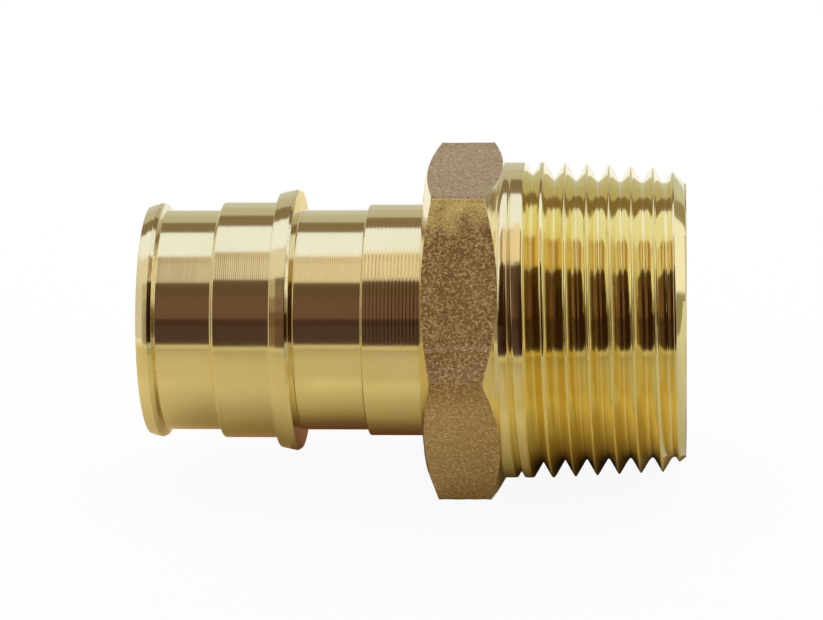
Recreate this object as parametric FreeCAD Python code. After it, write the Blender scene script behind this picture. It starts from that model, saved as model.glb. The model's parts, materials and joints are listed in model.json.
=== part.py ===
import FreeCAD, Part
import math
import os
from FreeCAD import Vector

# Brass adapter from expanded tube to taper pipe thread, one forged and turned piece, mm.
# The axis is X, with the tube insert toward -X and the thread toward +X. The origin is on the axis,
# in the face of the hexagon that the tube stops against. A flat of the hexagon faces down, -Z.

# Bore and tube insert
bore_diameter = 15.9
bore_mouth_bevel = 0.35
insert_length = 23.52
core_diameter = 18.47
mouth_diameter = 19.16
rim_diameter = 19.72
rim_length = 0.98
rim_shoulder_length = 0.55
rim_back_length = 0.56
first_recess_length = 4.55
lead_ramp_length = 0.24
lead_band_diameter = 19.8
lead_band_length = 4.69
collar_start_diameter = 21.0
collar_shoulder_length = 0.55
collar_diameter = 21.95
collar_length = 1.37
collar_back_length = 0.5
stop_ramp_length = 0.12
stop_band_diameter = 19.4
stop_band_length = 4.95

# Taper pipe thread, fourteen to the inch
thread_pitch = 25.4 / 14
thread_diameter = 26.4
thread_height = 0.79 * thread_pitch
thread_flank_angle = 30.0
thread_root_flat = 0.07
thread_end_face_diameter = 22.85
thread_end_bevel_angle = 40.0
neck_and_thread_length = 15.02
neck_length = 0.46
straight_crest_length = 3.88
root_taper = 1 / 16
crest_taper = 0.11
groove_start_angle = 72.0
runout_turns = 2.0

# Hexagon
hex_length = 6.35
flat_over_thread = 0.08
hex_across_flats = thread_diameter + 2 * flat_over_thread
hex_corner_radius = hex_across_flats / math.sqrt(3)
hex_corner_round = 0.9
stop_face_radius = 12.9
stop_side_bevel_angle = 21.5
thread_side_bevel_angle = 29.5

# Clearances and allowances
edge_round = 0.12
ramp_top_round = 0.3
shoulder_round = 0.8
step_lean = 0.04
overlap = 0.5
tool_margin = 1.0
tool_above_crest = 0.06
groove_samples_per_turn = 18
groove_turns_per_cut = 1.0

# Places along the axis
mouth_x = -insert_length
rim_edge_x = mouth_x + rim_length
rim_end_x = rim_edge_x + rim_back_length
lead_ramp_x = rim_end_x + first_recess_length
lead_band_x = lead_ramp_x + lead_ramp_length
collar_x = lead_band_x + lead_band_length
collar_edge_x = collar_x + collar_length
collar_end_x = collar_edge_x + collar_back_length
stop_band_x = -stop_band_length
stop_ramp_x = stop_band_x - stop_ramp_length
thread_end_x = hex_length + neck_and_thread_length
crest_cone_x = hex_length + straight_crest_length
groove_x = hex_length + neck_length


def revolved(corners):
    """Solid of revolution about X from (x, radius, rounding) corners that run round its half section."""
    edges = []
    tangents = [corner_tangents(corners, i) for i in range(len(corners))]
    for i, (before, middle, after) in enumerate(tangents):
        if middle is not None:
            edges.append(Part.Arc(before, middle, after).toShape())
        start = tangents[(i + 1) % len(corners)][0]
        edges.append(Part.makeLine(after, start))
    face = Part.Face(Part.Wire(edges))
    return face.revolve(Vector(0, 0, 0), Vector(1, 0, 0), 360).Solids[0]


def corner_tangents(corners, i):
    """Start, middle and end of the arc that rounds corner i; a sharp corner has no middle."""
    x, radius, rounding = corners[i]
    corner = Vector(x, radius, 0)
    if rounding == 0:
        return corner, None, corner
    previous = Vector(corners[i - 1][0], corners[i - 1][1], 0)
    following = Vector(*corners[(i + 1) % len(corners)][:2], 0)
    back = previous - corner
    ahead = following - corner
    half = back.getAngle(ahead) / 2
    room = 0.45 * min(back.Length, ahead.Length)
    setback = min(rounding / math.tan(half), room)
    fitted = setback * math.tan(half)
    back.normalize()
    ahead.normalize()
    toward_centre = back + ahead
    toward_centre.normalize()
    middle = corner + toward_centre * (fitted / math.sin(half) - fitted)
    return corner + back * setback, middle, corner + ahead * setback


def tube_insert():
    """Barbed insert: crowned rim, two recesses, lead band, higher crowned collar and stop band."""
    core = core_diameter / 2
    lead = lead_band_diameter / 2
    stop = stop_band_diameter / 2
    rim = rim_diameter / 2
    collar = collar_diameter / 2
    inside = bore_diameter / 2 - tool_margin
    return revolved([
        (mouth_x, inside, 0),
        (mouth_x, mouth_diameter / 2, edge_round),
        (mouth_x + rim_shoulder_length, rim - step_lean, shoulder_round),
        (rim_edge_x, rim, edge_round),
        (rim_end_x, core, edge_round),
        (lead_ramp_x, core, edge_round),
        (lead_band_x, lead, ramp_top_round),
        (collar_x, lead, step_lean / 2),
        (collar_x + step_lean, collar_start_diameter / 2, edge_round),
        (collar_x + collar_shoulder_length, collar - step_lean, shoulder_round),
        (collar_edge_x, collar, edge_round),
        (collar_end_x, core, edge_round),
        (stop_ramp_x, core, edge_round / 2),
        (stop_band_x, stop, edge_round),
        (overlap, stop, 0),
        (overlap, inside, 0),
    ])


def hexagon():
    """Wrench hexagon with rounded corners and both ends turned to a cone."""
    corner = hex_corner_radius
    points = []
    for i in range(7):
        angle = math.radians(60 * i)
        points.append(Vector(0, corner * math.cos(angle), corner * math.sin(angle)))
    prism = Part.Face(Part.makePolygon(points)).extrude(Vector(hex_length, 0, 0))
    long_edges = [edge for edge in prism.Edges if edge.BoundBox.XLength > hex_length / 2]
    prism = prism.makeFillet(hex_corner_round, long_edges)
    outer = corner + tool_margin
    stop_x = (outer - stop_face_radius) * math.tan(math.radians(stop_side_bevel_angle))
    thread_x = hex_length - (outer - thread_diameter / 2) * math.tan(math.radians(thread_side_bevel_angle))
    turned = revolved([
        (0, 0, 0),
        (0, stop_face_radius, edge_round),
        (stop_x, outer, 0),
        (thread_x, outer, 0),
        (hex_length, thread_diameter / 2, 0),
        (hex_length, 0, 0),
    ])
    return prism.common(turned)


def crest_radius(x):
    """Radius of the thread blank: straight behind the hexagon, then a cone."""
    return thread_diameter / 2 - max(0, x - crest_cone_x) * crest_taper / 2


def root_radius(x):
    """Radius of the full groove's floor at x, on the taper of the pipe thread."""
    return thread_diameter / 2 - thread_height - (x - crest_cone_x) * root_taper / 2


def thread_blank():
    """Neck and thread before the groove is cut, with the bevel at the end."""
    steepness = math.tan(math.radians(thread_end_bevel_angle))
    end_radius = thread_end_face_diameter / 2
    rise = crest_radius(thread_end_x) - end_radius
    bevel_length = rise / (steepness - crest_taper / 2)
    bevel_x = thread_end_x - bevel_length
    inside = bore_diameter / 2 - tool_margin
    return revolved([
        (hex_length - overlap, inside, 0),
        (hex_length - overlap, thread_diameter / 2, 0),
        (crest_cone_x, thread_diameter / 2, 0),
        (bevel_x, crest_radius(bevel_x), 0),
        (thread_end_x, end_radius, 0),
        (thread_end_x, inside, 0),
    ])


def groove_section(turn):
    """Four corners of the groove's section after this many turns, in the half plane at its angle.

    The floor starts just above the neck and sinks to the full depth over the runout. Along the cone, where
    the groove gets shallower, it widens as much as keeps the crest's flat the same.
    """
    x = groove_x + thread_pitch * turn
    angle = math.radians(groove_start_angle + 360 * turn)
    full_lift = crest_radius(groove_x) - root_radius(groove_x) + tool_above_crest
    left = max(0, 1 - turn / runout_turns)
    floor = root_radius(x) + full_lift * left ** 2
    reach = crest_radius(crest_cone_x) - root_radius(crest_cone_x) + tool_above_crest
    spread = math.tan(math.radians(thread_flank_angle))
    half_floor = thread_root_flat / 2 + max(0, x - crest_cone_x) * (crest_taper - root_taper) / 2 * spread
    half_top = half_floor + reach * spread
    corners = []
    for along, out in ((-half_floor, 0), (half_floor, 0), (half_top, reach), (-half_top, reach)):
        radius = floor + out
        corners.append(Vector(x + along, radius * math.cos(angle), radius * math.sin(angle)))
    return corners


def groove_piece(first_turn, last_turn):
    """Solid of the helical groove between two turns, ruled between its four edge curves."""
    steps = max(2, round((last_turn - first_turn) * groove_samples_per_turn))
    turns = [first_turn + (last_turn - first_turn) * i / steps for i in range(steps + 1)]
    sections = [groove_section(turn) for turn in turns]
    edges = []
    for k in range(4):
        curve = Part.BSplineCurve()
        curve.interpolate(Points=[section[k] for section in sections], Parameters=turns)
        edges.append(curve.toShape())
    faces = [Part.makeRuledSurface(edges[k], edges[(k + 1) % 4]) for k in range(4)]
    for section in (sections[0], sections[-1]):
        faces.append(Part.Face(Part.makePolygon(section + section[:1])))
    shell = Part.Shell(faces)
    shell.sewShape()
    solid = Part.Solid(shell)
    if solid.Volume < 0:
        solid.reverse()
    return solid


def cut_thread(body):
    """Cut the groove turn by turn, until it has left the end face."""
    last = (thread_end_x + tool_margin - groove_x) / thread_pitch
    turn = 0.0
    while turn < last:
        following = min(turn + groove_turns_per_cut, last)
        body = body.cut(groove_piece(turn, following))
        turn = following
    return body


def bore():
    """Straight water way with a small bevel at each mouth."""
    inside = bore_diameter / 2
    wide = inside + bore_mouth_bevel + tool_margin
    return revolved([
        (mouth_x - tool_margin, 0, 0),
        (mouth_x - tool_margin, wide, 0),
        (mouth_x + bore_mouth_bevel, inside, 0),
        (thread_end_x - bore_mouth_bevel, inside, 0),
        (thread_end_x + tool_margin, wide, 0),
        (thread_end_x + tool_margin, 0, 0),
    ])


def adapter_body():
    """The whole fitting as one solid."""
    thread = cut_thread(thread_blank())
    body = tube_insert().fuse([hexagon(), thread]).cut(bore())
    return body.Solids[0]


os.makedirs("parts", exist_ok=True)
adapter_body().exportStep("parts/adapter_body.step")
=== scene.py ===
import json
import math
import bpy
import numpy as np
from mathutils import Matrix, Vector


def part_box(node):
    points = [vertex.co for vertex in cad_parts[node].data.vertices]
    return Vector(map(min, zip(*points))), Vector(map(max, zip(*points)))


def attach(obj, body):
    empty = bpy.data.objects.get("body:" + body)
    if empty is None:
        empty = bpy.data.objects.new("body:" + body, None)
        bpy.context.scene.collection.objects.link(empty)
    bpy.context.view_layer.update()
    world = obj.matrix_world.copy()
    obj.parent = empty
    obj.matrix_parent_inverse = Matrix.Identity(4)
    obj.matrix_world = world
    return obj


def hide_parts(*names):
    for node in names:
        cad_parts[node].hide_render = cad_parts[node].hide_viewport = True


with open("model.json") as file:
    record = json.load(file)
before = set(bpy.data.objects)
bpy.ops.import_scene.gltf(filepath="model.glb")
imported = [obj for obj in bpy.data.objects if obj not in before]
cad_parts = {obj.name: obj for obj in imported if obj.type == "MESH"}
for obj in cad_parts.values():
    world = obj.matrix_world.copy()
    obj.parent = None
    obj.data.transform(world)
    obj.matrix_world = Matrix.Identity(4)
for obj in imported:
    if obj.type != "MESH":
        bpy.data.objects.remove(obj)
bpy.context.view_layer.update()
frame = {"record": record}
low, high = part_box("adapter_body")
mm = 0.001
mounts = {mount["name"]: mount for mount in frame["record"]["mounts"]}
print("frame loaded")


# sRGB hex to linear RGBA: each channel through the sRGB curve.
def linear(hexColour):
    parts = [int(hexColour[i:i + 2], 16) / 255 for i in (1, 3, 5)]
    return [c / 12.92 if c <= 0.04045 else ((c + 0.055) / 1.055) ** 2.4 for c in parts] + [1.0]


# One node with its properties, its sockets' fixed values and the outputs that feed it.
def addNode(tree, kind, settings=None, values=None, links=None):
    made = tree.nodes.new(kind)
    for name, value in (settings or {}).items():
        setattr(made, name, value)
    for socket, value in (values or {}).items():
        made.inputs[socket].default_value = value
    for socket, source in (links or {}).items():
        tree.links.new(source, made.inputs[socket])
    return made


# An empty node material with its output.
def newMaterial(name):
    material = bpy.data.materials.new(name)
    material.use_nodes = True
    material.node_tree.nodes.clear()
    return material, material.node_tree, addNode(material.node_tree, "ShaderNodeOutputMaterial")


# Rows of the surface: columns round the axis, points in a rounding, and the longest part of a side that a
# rounding may take. A side that is longer than so many supports gets one, in mm, just beyond each rounding.
grid = {"columns": 240, "arcSteps": 5, "arcShare": 0.45, "support": 0.03, "longSide": 6}

angles = np.radians(np.arange(grid["columns"] + 1) * 360 / grid["columns"])


# Half section through (x, r, rounding) corners. Each corner is replaced by the arc that is tangent to both
# its sides, found from the half angle there, and a long side gets a point just beyond each arc, which keeps
# its shading flat.
def roundedProfile(corners):
    places = np.array([corner[:2] for corner in corners], float)
    points = [places[0]]
    for i in range(1, len(places) - 1):
        back, ahead = places[i - 1] - places[i], places[i + 1] - places[i]
        backLength, aheadLength = np.linalg.norm(back), np.linalg.norm(ahead)
        back, ahead = back / backLength, ahead / aheadLength
        half = math.acos(np.clip(back @ ahead, -1, 1)) / 2
        setback = min(corners[i][2] / math.tan(half), grid["arcShare"] * min(backLength, aheadLength))
        radius = setback * math.tan(half)
        inward = (back + ahead) / np.linalg.norm(back + ahead)
        centre = places[i] + inward * radius / math.sin(half)
        start, end = places[i] + back * setback, places[i] + ahead * setback
        if backLength > grid["longSide"] * grid["support"] + setback:
            points.append(start + back * grid["support"])
        share = np.linspace(0, 1, grid["arcSteps"])[:, None]
        spokes = (start - centre) * (1 - share) + (end - centre) * share
        points.extend(centre + spokes / np.linalg.norm(spokes, axis=1)[:, None] * radius)
        if aheadLength > grid["longSide"] * grid["support"] + setback:
            points.append(end + ahead * grid["support"])
    points.append(places[-1])
    return np.array(points)


# The fitting's lengths are in mm: x along the axis from the tube stop, r from the axis.
insert = {
    "mouthX": low[0] / mm, "mouthRadius": 9.58, "rimShoulderX": -23.0, "rimShoulderRadius": 9.75,
    "rimEdgeX": -22.54, "rimRadius": 9.86, "rimBackX": -22.2, "rimBackRadius": 9.72, "rimEndX": -21.98,
    "coreRadius": 9.235, "leadRampX": -17.43, "leadBandX": -17.19, "leadRadius": 9.9,
    "collarX": -12.5, "collarStartRadius": 10.7, "collarShoulderX": -11.9, "collarShoulderRadius": 10.83,
    "collarEdgeX": -11.13, "collarRadius": 10.975, "collarBackX": -10.85, "collarBackRadius": 10.82,
    "collarEndX": -10.63, "stopRampX": -5.07, "stopBandX": -4.95, "stopRadius": 9.7,
    "edge": 0.08, "rampTop": 0.1, "crown": 1.5, "lean": 0.04,
    "landing": 0.4,  # ring of the stop face that is drawn with the insert
}
# Finishes along the insert, each from its place on the axis to the next one's
insertFinishes = {
    "mouthX": "turnedBrass", "rimEdgeX": "speckledBrass", "rimEndX": "finelyLinedBrass",
    "leadRampX": "linedBrass", "collarX": "turnedBrass", "collarEdgeX": "speckledBrass",
    "collarEndX": "linedBrass", "stopBandX": "ribbedBrass",
}
bore = {
    "radius": mounts["water_way"]["dims"]["r_mm"], "bevel": 0.35,
    "faceSupport": 0.04, "support": 0.05, "middleRows": (6.0, -9.0),
}


# Rows of the tube insert, from its mouth to the hexagon: circles about X on the rounded half section. A row
# has the finish of the place halfway to the next row.
def insertRows():
    s = insert
    profile = roundedProfile([
        (s["mouthX"], bore["radius"] + bore["bevel"], 0),
        (s["mouthX"], s["mouthRadius"], s["edge"]),
        (s["rimShoulderX"], s["rimShoulderRadius"], s["crown"]),
        (s["rimEdgeX"], s["rimRadius"], s["edge"]),
        (s["rimBackX"], s["rimBackRadius"], s["edge"]),
        (s["rimEndX"], s["coreRadius"], s["edge"]),
        (s["leadRampX"], s["coreRadius"], s["edge"]),
        (s["leadBandX"], s["leadRadius"], s["rampTop"]),
        (s["collarX"], s["leadRadius"], s["lean"] / 2),
        (s["collarX"] + s["lean"], s["collarStartRadius"], s["edge"]),
        (s["collarShoulderX"], s["collarShoulderRadius"], s["crown"]),
        (s["collarEdgeX"], s["collarRadius"], s["edge"]),
        (s["collarBackX"], s["collarBackRadius"], s["edge"]),
        (s["collarEndX"], s["coreRadius"], s["edge"]),
        (s["stopRampX"], s["coreRadius"], s["edge"]),
        (s["stopBandX"], s["stopRadius"], s["edge"]),
        (0, s["stopRadius"], s["edge"] / 2),
        (0, s["stopRadius"] + s["landing"], 0),
    ])
    middle = profile[:-1, 0] / 2 + profile[1:, 0] / 2
    borders = [s[place] for place in insertFinishes]
    zone = np.searchsorted(borders[1:], np.append(middle, middle[-1]))
    slots = np.array([slotOf[finish] for finish in insertFinishes.values()])[zone]
    ones = np.ones(len(angles))
    return profile[:, :1] * ones, profile[:, 1:] * ones, slots


hexagon = {
    "length": 6.35, "inradius": -low[2] / mm, "cornerRound": 0.91, "stopFaceRadius": 12.9,
    "stopBevel": 21.5, "threadBevel": 29.5, "beyondCorner": 1.0, "firstRing": 0.45,
    "skinDepth": 0.014, "skinWaves": 40, "waveLengths": (1.0, 4.0), "skinLimit": 2, "skinFade": 0.05,
    "seed": 11,
}


# Distance from the axis to the hexagon's side at each angle: flats, and arcs at the corners.
def hexRadius():
    s = hexagon
    fromFlat = np.radians(np.abs((np.degrees(angles) % 60) - 30))
    flatHalf = math.atan((s["inradius"] - s["cornerRound"]) * math.tan(math.pi / 6) / s["inradius"])
    flat = s["inradius"] / np.cos(fromFlat)
    centre = (s["inradius"] - s["cornerRound"]) / math.cos(math.pi / 6)
    fromCorner = math.pi / 6 - fromFlat
    reach = np.maximum(s["cornerRound"] ** 2 - (centre * np.sin(fromCorner)) ** 2, 0)
    arc = centre * np.cos(fromCorner) + np.sqrt(reach)
    return np.where(fromFlat <= flatHalf, flat, arc)


# Unevenness of the forged flats, always inward: many sine waves in fixed random directions, added up and
# held within a limit.
def forgedSkin(x, angle):
    s = hexagon
    draw = np.random.default_rng(s["seed"])
    place = np.stack([x, s["inradius"] * np.cos(angle), s["inradius"] * np.sin(angle)])
    total = np.zeros_like(x)
    for _ in range(s["skinWaves"]):
        direction = draw.normal(size=3)
        direction /= np.linalg.norm(direction)
        turn = 2 * math.pi / draw.uniform(*s["waveLengths"])
        total += np.sin(np.tensordot(direction, place, 1) * turn + draw.uniform(0, 2 * math.pi))
    limit = s["skinLimit"]
    return s["skinDepth"] * (np.clip(total / math.sqrt(s["skinWaves"] / 2), -limit, limit) - limit)


# Rows of the hexagon: stop face and turned cone out to the flats, the forged flats, and the cone down to
# the neck. The cones' rows follow the flats' outline, and all rows crowd towards the edges.
def hexRows():
    s = hexagon
    side = hexRadius()
    outer = s["inradius"] / math.cos(math.pi / 6) + s["beyondCorner"]
    turned = roundedProfile([
        (0, insert["stopRadius"] + insert["landing"], 0),
        (0, s["stopFaceRadius"], insert["edge"]),
        ((outer - s["stopFaceRadius"]) * math.tan(math.radians(s["stopBevel"])), outer, 0),
    ])
    share = np.concatenate([[0.0], np.linspace(0.03, 0.97, 14), [0.99, 1.0]])[:, None]
    firstRadius = insert["stopRadius"] + s["firstRing"]
    stopRadius = firstRadius + (side - firstRadius) * share
    stopX = np.interp(stopRadius, turned[:, 1], turned[:, 0])
    lean = math.tan(math.radians(s["threadBevel"]))
    firstX = stopX[-1]
    lastX = s["length"] - (side - thread["radius"]) * lean
    along = np.concatenate([[0.006, 0.02], np.linspace(0.05, 0.95, 26), [0.98, 0.994]])[:, None]
    flatX = firstX + (lastX - firstX) * along
    fade = np.clip(np.minimum(along, 1 - along) / s["skinFade"], 0, 1)
    flatRadius = side + forgedSkin(flatX, np.broadcast_to(angles, flatX.shape)) * fade
    fall = np.concatenate([[0.0, 0.02], np.linspace(0.1, 0.9, 6), [0.98]])[:, None]
    coneRadius = side + (thread["radius"] - side) * fall
    coneX = s["length"] - (coneRadius - thread["radius"]) * lean
    rowsX = np.concatenate([stopX, flatX, coneX])
    rowsRadius = np.concatenate([stopRadius, flatRadius, coneRadius])
    slots = np.repeat([slotOf["turnedBrass"], slotOf["forgedBrass"], slotOf["coneBrass"]],
                      [len(stopX) - 1, len(flatX) + 1, len(coneX)])
    return rowsX, rowsRadius, slots


# Turns are counted from the groove's start. The rows of a turn stand at shares of the groove's half width,
# or of the way to its edge from the middle of the crest.
thread = {
    "radius": 13.2, "pitch": 25.4 / 14, "height": 0.79 * 25.4 / 14, "halfFloor": 0.035, "flank": 30.0,
    "grooveX": 6.81, "grooveAngle": 72.0, "runoutTurns": 2.0, "toolLift": 0.06,
    "startTurn": -0.02, "beforeStart": 9.0,  # lifts the groove off the metal before its start
    "coneX": 10.23, "crestTaper": 0.055, "rootTaper": 1 / 32,
    "crestRound": 0.08, "droop": 0.03, "droopDepth": 0.26, "droopLimit": 1.2,
    "neckX": 8.1, "neckMargin": 0.02, "endX": high[0] / mm, "endRadius": 11.425, "endBevel": 40.0,
    "turnsDrawn": (-2, 10), "narrowest": 0.12, "widest": 0.485, "crestRows": (0.0, 0.8),
    "flankRows": (1.0, 0.985, 0.88, 0.72, 0.5, 0.27, 0.08, 0.03),
    "leaningRows": (1.0, 0.985, 0.96, 0.93, 0.9, 0.86, 0.81, 0.66, 0.4, 0.08, 0.03),
}


# Radius of the groove's floor after so many turns: it starts above the neck and sinks over the runout, by
# the square of the turns that are left.
def threadDepth(turn):
    s = thread
    x = s["grooveX"] + s["pitch"] * turn
    floor = s["radius"] - s["height"] - (x - s["coneX"]) * s["rootTaper"]
    lift = s["height"] - (s["coneX"] - s["grooveX"]) * s["rootTaper"] + s["toolLift"]
    sunk = floor + lift * np.clip(1 - turn / s["runoutTurns"], 0, None) ** 2
    return sunk + s["beforeStart"] * (turn < s["startTurn"])


# Half of the groove's floor, which widens where the crests fall faster than the roots.
def halfFloor(turn):
    s = thread
    beyond = np.clip(s["grooveX"] + s["pitch"] * turn - s["coneX"], 0, None)
    return s["halfFloor"] + beyond * (s["crestTaper"] - s["rootTaper"]) * math.tan(math.radians(s["flank"]))


# Radius of the thread's crests: straight behind the hexagon, then a cone, then the end's bevel.
def crestRadius(x):
    s = thread
    cone = s["radius"] - np.clip(x - s["coneX"], 0, None) * s["crestTaper"]
    bevel = s["endRadius"] + (s["endX"] - x) * math.tan(math.radians(s["endBevel"]))
    return np.minimum(cone, bevel)


# Radius at x and an angle: the lower of the crest's surface and of the V groove about the nearest turn,
# with the edge between them rounded. The flank on the groove's hexagon side droops a little near the crest,
# by the square of the height, as the die leaves it.
def threadRadius(x, angle):
    s = thread
    phase = (x - s["grooveX"]) / s["pitch"] - (angle - math.radians(s["grooveAngle"])) / (2 * math.pi)
    away = phase - np.round(phase)
    turn = (x - s["grooveX"]) / s["pitch"] - away
    spread = math.tan(math.radians(s["flank"]))
    climb = np.clip(np.abs(away) * s["pitch"] - halfFloor(turn), 0, None) / spread
    crest, flank = crestRadius(x), threadDepth(turn) + climb
    lean = np.clip(1 - (crest - flank) / s["droopDepth"], 0, s["droopLimit"]) * (away < 0)
    flank = flank - s["droop"] * lean ** 2 * np.clip(turn / s["runoutTurns"], 0, 1)
    overlap = np.clip(s["crestRound"] - np.abs(crest - flank), 0, None)
    return np.minimum(crest, flank) - overlap ** 2 / (4 * s["crestRound"])


# Rows of the thread, which follow the helix, so that its crests and roots lie on edges of the mesh. A row
# stays at one share of the groove's half width from the groove's middle, and goes on as the row one pitch
# further after a full turn. Rows are held between the hexagon's end and the thread's end.
def threadRows():
    s = thread
    turns = np.arange(*s["turnsDrawn"])[:, None] + (angles - math.radians(s["grooveAngle"])) / (2 * math.pi)
    middleX = s["grooveX"] + s["pitch"] * turns
    spread = math.tan(math.radians(s["flank"]))
    width = (crestRadius(middleX) - threadDepth(turns)) * spread + halfFloor(turns)
    width = np.clip(width, s["narrowest"] * s["pitch"], s["widest"] * s["pitch"])
    half = s["pitch"] / 2
    away = [-half + (half - width) * c for c in s["crestRows"]] + [-width * f for f in s["leaningRows"]]
    away += [width * f for f in s["flankRows"][::-1]]
    away += [half - (half - width) * c for c in s["crestRows"][:0:-1]]
    rowsX = np.stack([middleX + a for a in away], axis=1).reshape(-1, len(angles))
    rowsX = np.clip(rowsX, hexagon["length"], s["endX"])
    perTurn = len(away)
    rowsRadius = threadRadius(rowsX, angles)
    rowsX[:-perTurn, -1], rowsRadius[:-perTurn, -1] = rowsX[perTurn:, 0], rowsRadius[perTurn:, 0]
    rowsX[-perTurn:, -1], rowsRadius[-perTurn:, -1] = rowsX[-perTurn:, 0], rowsRadius[-perTurn:, 0]
    neck = (rowsX < s["neckX"]) & (rowsRadius > s["radius"] - s["neckMargin"])
    return rowsX, rowsRadius, np.where(neck, slotOf["turnedBrass"], slotOf["threadCutBrass"])


# Rows from the thread's end face back through the bore to the insert's mouth.
def boreRows():
    s = bore
    near, far = insert["mouthX"], thread["endX"]
    wide = s["radius"] + s["bevel"]
    profile = np.array([
        (far, thread["endRadius"] - s["faceSupport"]), (far, wide + s["faceSupport"]), (far, wide),
        (far - s["bevel"], s["radius"]), (far - s["bevel"] - s["support"], s["radius"]),
        (s["middleRows"][0], s["radius"]), (s["middleRows"][1], s["radius"]),
        (near + s["bevel"] + s["support"], s["radius"]), (near + s["bevel"], s["radius"]),
    ])
    ones = np.ones(len(angles))
    return profile[:, :1] * ones, profile[:, 1:] * ones, np.full(len(profile), slotOf["turnedBrass"])


# Quads between the neighbouring rows and columns of a grid of vertex numbers.
def gridQuads(index):
    corners = [index[:-1, :-1], index[:-1, 1:], index[1:, 1:], index[1:, :-1]]
    return np.stack(corners, axis=2).reshape(-1, 4)


# Mesh of a grid that closes both ways: x, and radius times the cosine and sine of the angle. Points that
# fall together become one, and the quads between them become triangles or go. A negative volume turns all
# faces round.
def closedMesh(name, rowsX, rowsRadius, slots):
    place = np.stack([rowsX, rowsRadius * np.cos(angles), rowsRadius * np.sin(angles)], axis=2)
    place[:, -1, 1:] = np.stack([rowsRadius[:, -1], np.zeros(len(rowsX))], axis=1)
    place = np.concatenate([place, place[:1]])
    points, back = np.unique(place.reshape(-1, 3), axis=0, return_inverse=True)
    index = back.reshape(place.shape[:2])
    quads = gridQuads(index)
    slots = slots[:, :-1].reshape(-1)
    same = quads == np.roll(quads, -1, axis=1)
    crossed = (quads[:, 0] == quads[:, 2]) | (quads[:, 1] == quads[:, 3])
    whole = (same.sum(axis=1) == 0) & ~crossed
    thin = (same.sum(axis=1) == 1) & ~crossed
    triangles = quads[thin][~same[thin]].reshape(-1, 3)
    a, b, c = (points[quads[whole][:, i]] for i in (0, 1, 2))
    volume = np.einsum("ij,ij->i", a, np.cross(b, c)).sum()
    faces = [quads[whole], triangles]
    if volume < 0:
        faces = [f[:, ::-1] for f in faces]
    mesh = bpy.data.meshes.new(name)
    mesh.from_pydata((points * mm).tolist(), [], faces[0].tolist() + faces[1].tolist())
    slotList = np.concatenate([slots[whole], slots[thin]])
    mesh.polygons.foreach_set("material_index", slotList.astype(np.int32))
    mesh.polygons.foreach_set("use_smooth", np.ones(len(slotList), bool))
    mesh.update()
    return mesh


# Brass turned on a lathe, lengths in mm: its feed lines are as wide as a lathe's feed. Ribs and specks are
# off here.
turnedLook = {
    "colour": "#f3e7ba", "shade": "#ecdda8", "patch": 4.0, "lineShade": "#ecdca6",
    "roughness": 0.1, "lineRoughness": 0.3, "lines": 0.15, "lineFrom": 0.42, "lineTo": 0.62,
    "feed": 0.12, "feedDepth": 0.0015, "wave": 0.8, "waveDepth": 0.0015, "drift": 0.012,
    "ribs": 0.0, "rib": 0.3, "ribWander": 2.5, "ribWanderScale": 0.6,
    "specks": 0.0, "speck": 0.12, "speckFrom": 0.57, "speckTo": 0.66, "grime": "#54361a",
    "speckLowZ": -5.0, "speckHighZ": 2.0, "speckLeast": 0.2,
}
# Brass as forged and shot blasted, lengths in mm. Its grit and facets are drawn coarser than they are, so
# that they still show at this distance.
forgedLook = {
    "colour": "#e9c68e", "shade": "#a07a4c", "facet": 0.16, "toneFrom": 0.35, "toneTo": 0.95,
    "roughness": (0.34, 0.22), "grit": 0.16, "gritDepth": 0.36, "lump": 1.3, "lumpDepth": 0.06,
    # The pale colours: the ridge's paler skin, and painted light on the top and lower flats by their
    # shares.
    "paleColour": "#f0dec8", "paleShade": "#dcc3a0", "paleSmooth": 0.7,
    "topPale": 0.42, "topMargin": 0.2, "lowerPale": 0.6, "lowerFromZ": 2.0, "lowerToZ": -3.0,
    "partingPale": 0.3, "partingZ": 2.5, "partingHalfWidth": 0.3, "partingWander": 0.7,
    "partingHeight": 0.08,
    # The rub colour is rubbed metal and a painted highlight along the upper edges.
    "rub": "#fbe08e", "rubFrom": 7.7, "rubTo": 9.3, "rubUneven": 3.0, "rubMargin": 0.2,
}
# Every finish of the fitting: deeper tool marks on the bands, grime behind the rim and the collar, the more
# golden metal of the cut thread, the paler cone beside the neck, and the forged skin.
finishes = {
    "turnedBrass": turnedLook,
    "linedBrass": dict(turnedLook, ribs=0.0045, rib=0.17),
    "finelyLinedBrass": dict(turnedLook, ribs=0.0028, rib=0.14),
    "ribbedBrass": dict(turnedLook, ribs=0.0105),
    "speckledBrass": dict(turnedLook, specks=0.9),
    "threadCutBrass": dict(
        turnedLook, colour="#f6ebb8", shade="#f0e2a2", feed=0.1, feedDepth=0.001, lines=0.1,
        waveDepth=0.001),
    "coneBrass": dict(turnedLook, colour="#fbf3da", shade="#f6ecc8"),
    "forgedBrass": forgedLook,
}
slotOf = {name: i for i, name in enumerate(finishes)}


# Coordinates of a turned surface: along the axis, out from it, and a slow drift round it.
def latheVector(tree, drift):
    place = addNode(tree, "ShaderNodeTexCoord").outputs["Object"]
    parts = addNode(tree, "ShaderNodeSeparateXYZ", links={0: place})
    across = addNode(tree, "ShaderNodeCombineXYZ", links={"Y": parts.outputs["Y"], "Z": parts.outputs["Z"]})
    radius = addNode(tree, "ShaderNodeVectorMath", {"operation": "LENGTH"}, links={0: across.outputs[0]})
    slow = addNode(tree, "ShaderNodeMath", {"operation": "MULTIPLY"}, {1: drift}, {0: parts.outputs["Y"]})
    vector = addNode(tree, "ShaderNodeCombineXYZ", links={
        "X": parts.outputs["X"], "Y": radius.outputs["Value"], "Z": slow.outputs[0]})
    return place, parts, vector.outputs[0]


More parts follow.
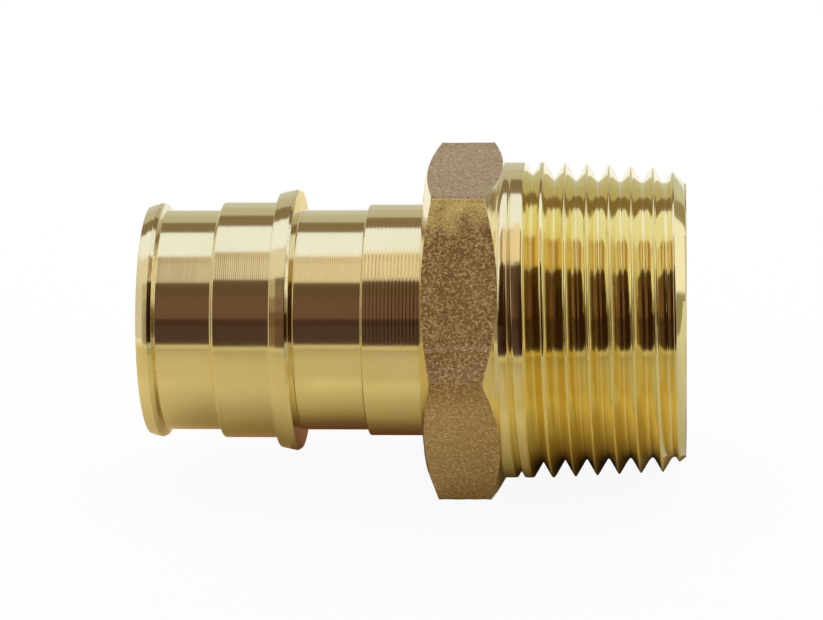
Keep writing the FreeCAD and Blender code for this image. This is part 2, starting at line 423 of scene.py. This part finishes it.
# Turned brass: bright metal under fine feed lines round the axis, which are a little duller and darker. The
# tool marks tilt the surface a little to the left and right, which draws fine pale and dark lines into what
# each band reflects.
def turnedBrass(name, look):
    material, tree, output = newMaterial(name)
    place, parts, vector = latheVector(tree, look["drift"])
    feed = addNode(tree, "ShaderNodeTexNoise", values={
        "Scale": 1 / (look["feed"] * mm), "Detail": 2.0, "Roughness": 0.6}, links={"Vector": vector})
    wave = addNode(tree, "ShaderNodeTexNoise", values={
        "Scale": 1 / (look["wave"] * mm), "Detail": 1.0}, links={"Vector": vector})
    waveBump = addNode(tree, "ShaderNodeBump", values={
        "Strength": 1.0, "Distance": look["waveDepth"] * mm}, links={"Height": wave.outputs["Fac"]})
    feedBump = addNode(tree, "ShaderNodeBump", values={
        "Strength": 1.0, "Distance": look["feedDepth"] * mm},
        links={"Height": feed.outputs["Fac"], "Normal": waveBump.outputs["Normal"]})
    normal = feedBump.outputs["Normal"]
    if look["ribs"]:
        rib = addNode(tree, "ShaderNodeTexWave", {"bands_direction": "X"}, {
            "Scale": math.pi / 10 / (look["rib"] * mm),  # at scale 1 the bands are pi / 10 apart
            "Distortion": look["ribWander"], "Detail": 1.0, "Detail Scale": look["ribWanderScale"]},
            {"Vector": vector})
        normal = addNode(tree, "ShaderNodeBump", values={
            "Strength": 1.0, "Distance": look["ribs"] * mm},
            links={"Height": rib.outputs["Fac"], "Normal": normal}).outputs["Normal"]
    patch = addNode(tree, "ShaderNodeTexNoise", values={
        "Scale": 1 / (look["patch"] * mm), "Detail": 3.0}, links={"Vector": place})
    line = addNode(tree, "ShaderNodeMapRange", values={
        "From Min": look["lineFrom"], "From Max": look["lineTo"], "To Min": 0.0, "To Max": look["lines"]},
        links={"Value": feed.outputs["Fac"]})
    clean = addNode(tree, "ShaderNodeMix", {"data_type": "RGBA"}, {
        "A": linear(look["colour"]), "B": linear(look["shade"])}, {"Factor": patch.outputs["Fac"]})
    colour = addNode(tree, "ShaderNodeMix", {"data_type": "RGBA"}, {"B": linear(look["lineShade"])}, {
        "Factor": line.outputs["Result"], "A": clean.outputs["Result"]})
    if look["specks"]:
        speck = grimeSpecks(tree, place, parts, look)
        colour = addNode(tree, "ShaderNodeMix", {"data_type": "RGBA"}, {"B": linear(look["grime"])}, {
            "Factor": speck, "A": colour.outputs["Result"]})
    rough = addNode(tree, "ShaderNodeMapRange", values={
        "To Min": look["roughness"], "To Max": look["lineRoughness"]}, links={
        "Value": line.outputs["Result"]})
    shader = addNode(tree, "ShaderNodeBsdfPrincipled", values={"Metallic": 1.0}, links={
        "Base Color": colour.outputs["Result"], "Roughness": rough.outputs["Result"], "Normal": normal})
    tree.links.new(shader.outputs[0], output.inputs["Surface"])
    return material


# Share of grime left by the tool in a corner: specks of noise above a threshold, fewer below the axis.
def grimeSpecks(tree, place, parts, look):
    grain = addNode(tree, "ShaderNodeTexNoise", values={
        "Scale": 1 / (look["speck"] * mm), "Detail": 2.0, "Roughness": 0.7}, links={"Vector": place})
    speck = addNode(tree, "ShaderNodeMapRange", values={
        "From Min": look["speckFrom"], "From Max": look["speckTo"], "To Min": 0.0,
        "To Max": look["specks"]}, links={"Value": grain.outputs["Fac"]})
    upper = addNode(tree, "ShaderNodeMapRange", values={
        "From Min": look["speckLowZ"] * mm, "From Max": look["speckHighZ"] * mm,
        "To Min": look["speckLeast"], "To Max": 1.0}, links={"Value": parts.outputs["Z"]})
    return addNode(tree, "ShaderNodeMath", {"operation": "MULTIPLY"}, links={
        0: speck.outputs["Result"], 1: upper.outputs["Result"]}).outputs[0]


# Forged brass: a dull skin of small facets, some bright and some dark, whose grit glints. It is smoother on
# the top flat, on the lower flats and on the line where the dies met. That line is paler, the top flat and
# the lower flats are painted paler as painted light that brightens them, and the upper edges are painted
# golden, partly rubbed metal and partly a painted highlight.
def forgedBrass(name, look):
    material, tree, output = newMaterial(name)
    place = addNode(tree, "ShaderNodeTexCoord").outputs["Object"]
    parts = addNode(tree, "ShaderNodeSeparateXYZ", links={0: place})
    grit = addNode(tree, "ShaderNodeTexNoise", values={
        "Scale": 1 / (look["grit"] * mm), "Detail": 3.0, "Roughness": 0.55}, links={"Vector": place})
    lump = addNode(tree, "ShaderNodeTexNoise", values={
        "Scale": 1 / (look["lump"] * mm), "Detail": 2.0}, links={"Vector": place})
    lumpBump = addNode(tree, "ShaderNodeBump", values={
        "Strength": 1.0, "Distance": look["lumpDepth"] * mm}, links={"Height": lump.outputs["Fac"]})
    ridge = partingRidge(tree, parts, lump, look)
    partingBump = addNode(tree, "ShaderNodeBump", values={
        "Strength": 1.0, "Distance": look["partingHeight"] * mm},
        links={"Height": ridge, "Normal": lumpBump.outputs["Normal"]})
    facet = addNode(tree, "ShaderNodeTexVoronoi", values={"Scale": 1 / (look["facet"] * mm)}, links={
        "Vector": place})
    tone = addNode(tree, "ShaderNodeMapRange", values={
        "From Min": look["toneFrom"], "From Max": look["toneTo"]}, links={"Value": facet.outputs["Color"]})
    # Paler colour: the ridge's own skin, and painted light on the top flat and the lower flats.
    paleAndLit = paleAndLitShare(tree, parts, ridge, look)
    strength = addNode(tree, "ShaderNodeMath", {"operation": "MULTIPLY_ADD"}, {
        1: -look["paleSmooth"], 2: 1.0}, {0: paleAndLit})
    gritBump = addNode(tree, "ShaderNodeBump", values={"Distance": look["gritDepth"] * mm}, links={
        "Strength": strength.outputs[0], "Height": grit.outputs["Fac"],
        "Normal": partingBump.outputs["Normal"]})
    bright = addNode(tree, "ShaderNodeMix", {"data_type": "RGBA"}, {
        "A": linear(look["colour"]), "B": linear(look["paleColour"])}, {"Factor": paleAndLit})
    dull = addNode(tree, "ShaderNodeMix", {"data_type": "RGBA"}, {
        "A": linear(look["shade"]), "B": linear(look["paleShade"])}, {"Factor": paleAndLit})
    skin = addNode(tree, "ShaderNodeMix", {"data_type": "RGBA"}, links={
        "Factor": tone.outputs["Result"], "A": dull.outputs["Result"], "B": bright.outputs["Result"]})
    # Golden upper edges: rubbed metal and a painted highlight.
    colour = addNode(tree, "ShaderNodeMix", {"data_type": "RGBA"}, {"B": linear(look["rub"])}, {
        "Factor": edgeRubSheen(tree, parts, lump, look), "A": skin.outputs["Result"]})
    rough = addNode(tree, "ShaderNodeMapRange", values={
        "To Min": look["roughness"][0], "To Max": look["roughness"][1]}, links={
        "Value": tone.outputs["Result"]})
    shader = addNode(tree, "ShaderNodeBsdfPrincipled", values={"Metallic": 1.0}, links={
        "Base Color": colour.outputs["Result"], "Roughness": rough.outputs["Result"],
        "Normal": gritBump.outputs["Normal"]})
    tree.links.new(shader.outputs[0], output.inputs["Surface"])
    return material


# Height of the thin ridge where the two dies met: 1 on its line, which wanders a little, and 0 beside it.
# The line runs above the axis in front and below it behind.
def partingRidge(tree, parts, lump, look):
    side = addNode(tree, "ShaderNodeMath", {"operation": "SIGN"}, links={0: parts.outputs["Y"]})
    wander = addNode(tree, "ShaderNodeMath", {"operation": "MULTIPLY_ADD"}, {
        1: look["partingWander"] * mm, 2: (look["partingZ"] - look["partingWander"] / 2) * mm}, {
        0: lump.outputs["Fac"]})
    away = addNode(tree, "ShaderNodeMath", {"operation": "MULTIPLY_ADD"}, links={
        0: side.outputs[0], 1: parts.outputs["Z"], 2: wander.outputs[0]})
    gap = addNode(tree, "ShaderNodeMath", {"operation": "ABSOLUTE"}, links={0: away.outputs[0]})
    return addNode(tree, "ShaderNodeMapRange", {"interpolation_type": "SMOOTHSTEP"}, {
        "From Min": 0.0, "From Max": look["partingHalfWidth"] * mm, "To Min": 1.0, "To Max": 0.0}, {
        "Value": gap.outputs[0]}).outputs["Result"]


# Share of the paler colour: painted light on the top flat and on the lower flats, which comes in below the
# axis, and the ridge's paler skin, added up.
def paleAndLitShare(tree, parts, ridge, look):
    lower = addNode(tree, "ShaderNodeMapRange", values={
        "From Min": look["lowerFromZ"] * mm, "From Max": look["lowerToZ"] * mm,
        "To Max": look["lowerPale"]}, links={"Value": parts.outputs["Z"]})
    top = addNode(tree, "ShaderNodeMath", {"operation": "GREATER_THAN"}, {
        1: (hexagon["inradius"] - look["topMargin"]) * mm}, {0: parts.outputs["Z"]})
    flats = addNode(tree, "ShaderNodeMath", {"operation": "MULTIPLY_ADD"}, {1: look["topPale"]}, {
        0: top.outputs[0], 2: lower.outputs["Result"]})
    return addNode(tree, "ShaderNodeMath", {"operation": "MULTIPLY_ADD"}, {1: look["partingPale"]}, {
        0: ridge, 2: flats.outputs[0]}).outputs[0]


# Share of rubbed metal and painted highlight: 1 just below the top face's edges, and fading unevenly down
# the next faces, above the axis only.
def edgeRubSheen(tree, parts, lump, look):
    out = addNode(tree, "ShaderNodeMath", {"operation": "ABSOLUTE"}, links={0: parts.outputs["Y"]})
    uneven = addNode(tree, "ShaderNodeMath", {"operation": "MULTIPLY_ADD"}, {
        1: look["rubUneven"] * mm, 2: -look["rubUneven"] / 2 * mm}, {0: lump.outputs["Fac"]})
    reach = addNode(tree, "ShaderNodeMath", {"operation": "ADD"}, links={
        0: out.outputs[0], 1: uneven.outputs[0]})
    fade = addNode(tree, "ShaderNodeMapRange", values={
        "From Min": look["rubFrom"] * mm, "From Max": look["rubTo"] * mm, "To Min": 1.0, "To Max": 0.0},
        links={"Value": reach.outputs[0]})
    beside = addNode(tree, "ShaderNodeMath", {"operation": "GREATER_THAN"}, {
        1: (look["rubFrom"] - look["rubMargin"]) * mm}, {0: out.outputs[0]})
    above = addNode(tree, "ShaderNodeMath", {"operation": "GREATER_THAN"}, {1: 0.0}, {
        0: parts.outputs["Z"]})
    side = addNode(tree, "ShaderNodeMath", {"operation": "MULTIPLY"}, links={
        0: beside.outputs[0], 1: above.outputs[0]})
    return addNode(tree, "ShaderNodeMath", {"operation": "MULTIPLY"}, links={
        0: fade.outputs["Result"], 1: side.outputs[0]}).outputs[0]


# The whole fitting as one closed surface: insert, hexagon, thread and bore.
def buildAdapter():
    parts = [insertRows(), hexRows(), threadRows(), boreRows()]
    rowsX = np.concatenate([rows for rows, _, _ in parts])
    rowsRadius = np.concatenate([radius for _, radius, _ in parts])
    slots = np.concatenate([
        slot if slot.ndim == 2 else slot[:, None] * np.ones(len(angles), int) for _, _, slot in parts])
    mesh = closedMesh("adapterBody", rowsX, rowsRadius, slots)
    for name, look in finishes.items():
        mesh.materials.append(forgedBrass(name, look) if look is forgedLook else turnedBrass(name, look))
    piece = bpy.data.objects.new("adapterBody", mesh)
    bpy.context.scene.collection.objects.link(piece)
    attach(piece, "root")
    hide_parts("adapter_body")
    print("adapter built:", sum(len(face.vertices) - 2 for face in mesh.polygons), "triangles")


# The studio's lengths are in metres. Each sheet lies on the table between its left and right ends, and only
# reflections see it. It has three colours: away from the fitting, near it, a painted light where the table
# is brighter and may glow, and under it, a painted shadow of the fitting, darker and browner. The near and
# the under stretch are given as their middle, and their outer and inner half width.
studio = {
    "tableColour": "#fafaf8", "tableReach": 0.9, "tableRoughness": 0.9, "whiteShare": 0.93,
    "roomLight": 1.0, "boxHeight": 0.35, "boxFront": -0.01, "boxBack": 0.223, "boxLength": 0.5,
    "boxRadiance": 0.6, "boxColour": (0.95, 0.97, 1.0), "cardGlow": {"softboxFace": 1.3}, "cardSteps": 17,
    # Each sheet: ends, colours away, near as painted light and under as painted shadow, and the near glow.
    "sheets": {
        "palerTone": (-0.3, -0.0126, ("#ecdeb2", "#f4e8bc", "#e8d4aa"), 0.0),
        "warmTone": (-0.0126, 0.0085, ("#ecdeb2", "#fff7c5", "#aa7d63"), 0.065),
        "goldenTone": (0.0085, 0.0225, ("#e8ce8a", "#fde49a", "#5e4426"), 0.06),
        "greyTone": (0.0225, 0.3, ("#dedac8", "#dedac8", "#dedac8"), 0.0)},
    "sheetFront": -0.165, "sheetBack": 0.1, "sheetGap": 0.00005,
    # The near stretch is painted light; the under stretch is the fitting's painted shadow.
    "near": (-0.0135, 0.0115, 0.003), "under": (0.014, 0.0215, 0.012),
}
# Curved flags and cards about the fitting's axis: from and to in degrees from the front's horizon over the
# top, then radius, left and right ends, and colour. The flags stand close before the fitting, give its dark
# band, and also keep the room's light off the table.
flags = {
    "flagLow": (-4.9, 14.0, 0.094, -0.056, 0.0045, "#4f3c37"),
    "flagEye": (14.0, 20.6, 0.094, -0.056, 0.0045, "#49332a"),
    "flagHigh": (20.6, 42.4, 0.094, -0.056, 0.0045, "#6f5449"),
    "flagTop": (42.4, 57.0, 0.094, -0.056, 0.0045, "#66503f"),
    "rightLow": (-4.3, 27.4, 0.094, 0.0045, 0.12, "#2e1812"),
    "rightHigh": (27.4, 45.0, 0.094, 0.0045, 0.085, "#331d10"),
    "rightTop": (45.0, 59.6, 0.094, 0.0045, 0.07, "#442d19"),
    "leftLow": (-4.9, 13.0, 0.095, -0.084, -0.056, "#81684f"),
    "leftEye": (13.0, 27.0, 0.095, -0.084, -0.056, "#73573c"),
    "leftHigh": (27.0, 40.0, 0.095, -0.084, -0.056, "#99826a"),
    "leftTop": (40.0, 57.0, 0.095, -0.084, -0.056, "#bcae95"),
}
cards = {
    "ceilingFront": (55.5, 80.0, 0.3, -0.092, 0.035, "#e4d9cf"),
    "ceilingEdge": (80.0, 88.4, 0.3, -0.092, 0.035, "#d2c4b4"),
    "ceilingThread": (55.5, 93.0, 0.298, -0.006, 0.035, "#feebcb"),
    "ceilingNeck": (55.5, 88.4, 0.299, -0.0145, -0.006, "#f2e4d4"),
    "ceilingNear": (55.5, 86.0, 0.299, -0.042, -0.027, "#b6aba0"),
    "ceilingGap": (55.5, 88.4, 0.302, -0.118, -0.088, "#644a36"),
    "ceilingRight": (55.5, 88.4, 0.302, 0.03, 0.17, "#b89c7a"),
    "ceilingSides": (55.5, 88.4, 0.304, -0.45, 0.45, "#e9e2d8"),
    "softboxFace": (88.4, 122.4, 0.35, -0.3, 0.3, "#e0e8ff"),
    "strip": (122.0, 141.3, 0.36, -0.4, 0.4, "#8a775f"),
    "wallHigh": (141.3, 160.0, 0.36, -0.4, 0.4, "#c6c3b6"),
    "wallLow": (160.0, 186.0, 0.36, -0.4, 0.4, "#cdcfc6"),
}
# Upright cards at the sides: x, then three columns of y and the foot's and the top's heights, and colour
sideCards = {
    "leftWall": (-0.3, ((-0.6, -0.012, 0.4), (0.0, -0.012, 0.4), (0.3, -0.012, 0.4)), "#d9d6cb"),
    "rightWall": (0.26, ((-0.25, -0.012, 0.3), (0.0, -0.012, 0.3), (0.35, -0.012, 0.3)), "#9c8f73"),
    "rightWindow": (0.25, ((-0.16, 0.11, 0.28), (0.06, 0.04, 0.28), (0.18, 0.035, 0.2)), "#ffffff"),
}


# A staged sheet from a grid of places, rows by columns by xyz.
def addSheet(name, place, material):
    rows, columns = place.shape[:2]
    index = np.arange(rows * columns).reshape(rows, columns)
    mesh = bpy.data.meshes.new(name)
    mesh.from_pydata(place.reshape(-1, 3).tolist(), [], gridQuads(index).tolist())
    mesh.materials.append(material)
    sheet = bpy.data.objects.new(name, mesh)
    bpy.context.scene.collection.objects.link(sheet)
    return sheet


# Hide a sheet from all but glossy rays.
def seenInReflections(sheet):
    sheet.visible_camera = sheet.visible_diffuse = sheet.visible_shadow = False
    sheet.visible_transmission = sheet.visible_volume_scatter = False


# A glowing card that only reflections see; one that shades hides the room from the table too.
def addCard(name, place, colour, shades=False):
    material, tree, output = newMaterial(name + "Paper")
    shader = addNode(tree, "ShaderNodeEmission", values={
        "Color": linear(colour), "Strength": studio["cardGlow"].get(name, 1.0)})
    tree.links.new(shader.outputs[0], output.inputs["Surface"])
    card = addSheet(name, place, material)
    seenInReflections(card)
    card.visible_diffuse = shades


# Corners of a level sheet.
def flatPlace(left, right, front, back, height):
    place = np.stack(np.meshgrid([left, right], [front, back], indexing="ij"), axis=2)
    return np.concatenate([place, np.full((2, 2, 1), height)], axis=2)


# Matt white paper that keeps the fitting's shadow, mixed with plain white for the rays that show the
# background: camera, glossy and transmission rays.
def tablePaper(name):
    s = studio
    material, tree, output = newMaterial(name)
    path = addNode(tree, "ShaderNodeLightPath")
    direct = addNode(tree, "ShaderNodeMath", {"operation": "MAXIMUM"}, links={
        0: path.outputs["Is Camera Ray"], 1: path.outputs["Is Glossy Ray"]})
    background = addNode(tree, "ShaderNodeMath", {"operation": "MAXIMUM"}, links={
        0: direct.outputs[0], 1: path.outputs["Is Transmission Ray"]})
    share = addNode(tree, "ShaderNodeMath", {"operation": "MULTIPLY"}, {1: s["whiteShare"]}, {
        0: background.outputs[0]})
    matt = addNode(tree, "ShaderNodeBsdfPrincipled", values={
        "Base Color": linear(s["tableColour"]), "Roughness": s["tableRoughness"],
        "Specular IOR Level": 0.0})
    white = addNode(tree, "ShaderNodeEmission", values={"Color": (1, 1, 1, 1), "Strength": 1.0})
    mixed = addNode(tree, "ShaderNodeMixShader", links={
        0: share.outputs[0], 1: matt.outputs[0], 2: white.outputs[0]})
    tree.links.new(mixed.outputs[0], output.inputs["Surface"])
    return material


# Matt sheet whose colour goes along Y from the one away from the fitting to the near one, a painted light,
# and then to the one under it, a painted shadow. Each share is 1 within the inner half width of its stretch
# and 0 beyond the outer one. The near stretch glows as painted light.
def tonedPaper(name, colours, glow):
    s = studio
    material, tree, output = newMaterial(name)
    away, near, under = (linear(colour) for colour in colours)
    place = addNode(tree, "ShaderNodeTexCoord").outputs["Object"]
    depth = addNode(tree, "ShaderNodeSeparateXYZ", links={0: place}).outputs["Y"]
    shares = []
    # Shares of the painted light near the fitting and of the painted shadow under it.
    for middle, outer, inner in (s["near"], s["under"]):
        offset = addNode(tree, "ShaderNodeMath", {"operation": "SUBTRACT"}, {1: middle}, {0: depth})
        distance = addNode(tree, "ShaderNodeMath", {"operation": "ABSOLUTE"}, links={0: offset.outputs[0]})
        shares.append(addNode(tree, "ShaderNodeMapRange", {"interpolation_type": "SMOOTHSTEP"}, {
            "From Min": outer, "From Max": inner}, {"Value": distance.outputs[0]}).outputs["Result"])
    closer = addNode(tree, "ShaderNodeMix", {"data_type": "RGBA"}, {"A": away, "B": near}, {
        "Factor": shares[0]})
    colour = addNode(tree, "ShaderNodeMix", {"data_type": "RGBA"}, {"B": under}, {
        "Factor": shares[1], "A": closer.outputs["Result"]})
    # The near stretch glows as painted light.
    shine = addNode(tree, "ShaderNodeMath", {"operation": "MULTIPLY"}, {1: glow}, {0: shares[0]})
    shader = addNode(tree, "ShaderNodeBsdfPrincipled", values={
        "Roughness": s["tableRoughness"], "Specular IOR Level": 0.0}, links={
        "Base Color": colour.outputs["Result"], "Emission Color": colour.outputs["Result"],
        "Emission Strength": shine.outputs[0]})
    tree.links.new(shader.outputs[0], output.inputs["Surface"])
    return material


# White table under the fitting, and the toned sheets that the brass sees in its place close by.
def buildTable():
    s = studio
    reach = s["tableReach"]
    addSheet("table", flatPlace(-reach, reach, -reach, reach, low[2]), tablePaper("paleTable"))
    for name, (left, right, colours, glow) in s["sheets"].items():
        place = flatPlace(left, right, s["sheetFront"], s["sheetBack"], low[2] + s["sheetGap"])
        seenInReflections(addSheet(name, place, tonedPaper(name, colours, glow)))


# White room, one long softbox overhead, and the cards and dark flags round the table. Reflections see the
# softbox as its card.
def buildStudio():
    s = studio
    buildTable()
    lamp = bpy.data.lights.new("softbox", "AREA")
    lamp.shape = "RECTANGLE"
    lamp.size, lamp.size_y = s["boxLength"], s["boxBack"] - s["boxFront"]
    lamp.energy = s["boxRadiance"] * math.pi * lamp.size * lamp.size_y
    lamp.color = s["boxColour"]
    softbox = bpy.data.objects.new("softbox", lamp)
    softbox.location = (0, (s["boxBack"] + s["boxFront"]) / 2, s["boxHeight"])
    softbox.visible_glossy = False
    bpy.context.scene.collection.objects.link(softbox)
    for name, (start, stop, radius, left, right, colour) in (flags | cards).items():
        turn = np.radians(np.linspace(start, stop, s["cardSteps"]))[:, None]
        along = np.array([[left, right]])
        place = np.stack(np.broadcast_arrays(along, -radius * np.cos(turn), radius * np.sin(turn)), axis=2)
        addCard(name, place, colour, name in flags)
    for name, (x, columns, colour) in sideCards.items():
        place = np.array([[(x, y, foot), (x, y, top)] for y, foot, top in columns])
        addCard(name, place, colour)
    world = bpy.data.worlds.new("studioWalls")
    world.use_nodes = True
    tree = world.node_tree
    tree.nodes.clear()
    room = addNode(tree, "ShaderNodeBackground", values={"Color": (1, 1, 1, 1), "Strength": s["roomLight"]})
    addNode(tree, "ShaderNodeOutputWorld", links={"Surface": room.outputs[0]})
    bpy.context.scene.world = world
    print("studio built")


# The camera looks down by 20 degrees, from 310 mm away and straight before the thread's end. It is aimed a
# little left of there. Lengths in mm.
view = {
    "elevation": 20.2, "footX": 23.1, "distance": 310.0, "widthAtAxis": 68.8,
    "aimX": -1.6, "aimUp": 0.8, "sensor": 36.0, "clipStart": 10.0,
}


# The photograph's camera, level from side to side: its lens is the sensor's width times the distance over
# the width that it sees at the fitting's axis.
def buildCamera():
    s = view
    tilt = math.radians(s["elevation"])
    back = Vector((0, -math.cos(tilt), math.sin(tilt)))
    up = Vector((0, math.sin(tilt), math.cos(tilt)))
    data = bpy.data.cameras.new("camera")
    data.sensor_width = s["sensor"]
    data.lens = data.sensor_width * s["distance"] / s["widthAtAxis"]
    data.clip_start = s["clipStart"] * mm
    camera = bpy.data.objects.new("camera", data)
    camera.location = (Vector((s["footX"], 0, 0)) + back * s["distance"]) * mm
    aim = (Vector((s["aimX"], 0, 0)) + up * s["aimUp"]) * mm
    look = (aim - camera.location).normalized()
    right = (Vector((1, 0, 0)) - look * look.x).normalized()
    camera.rotation_euler = Matrix((right, right.cross(look), -look)).transposed().to_euler()
    bpy.context.scene.collection.objects.link(camera)
    bpy.context.scene.camera = camera


buildAdapter()
buildStudio()
buildCamera()
bpy.context.scene.view_settings.view_transform = "Standard"
print("scene ready")
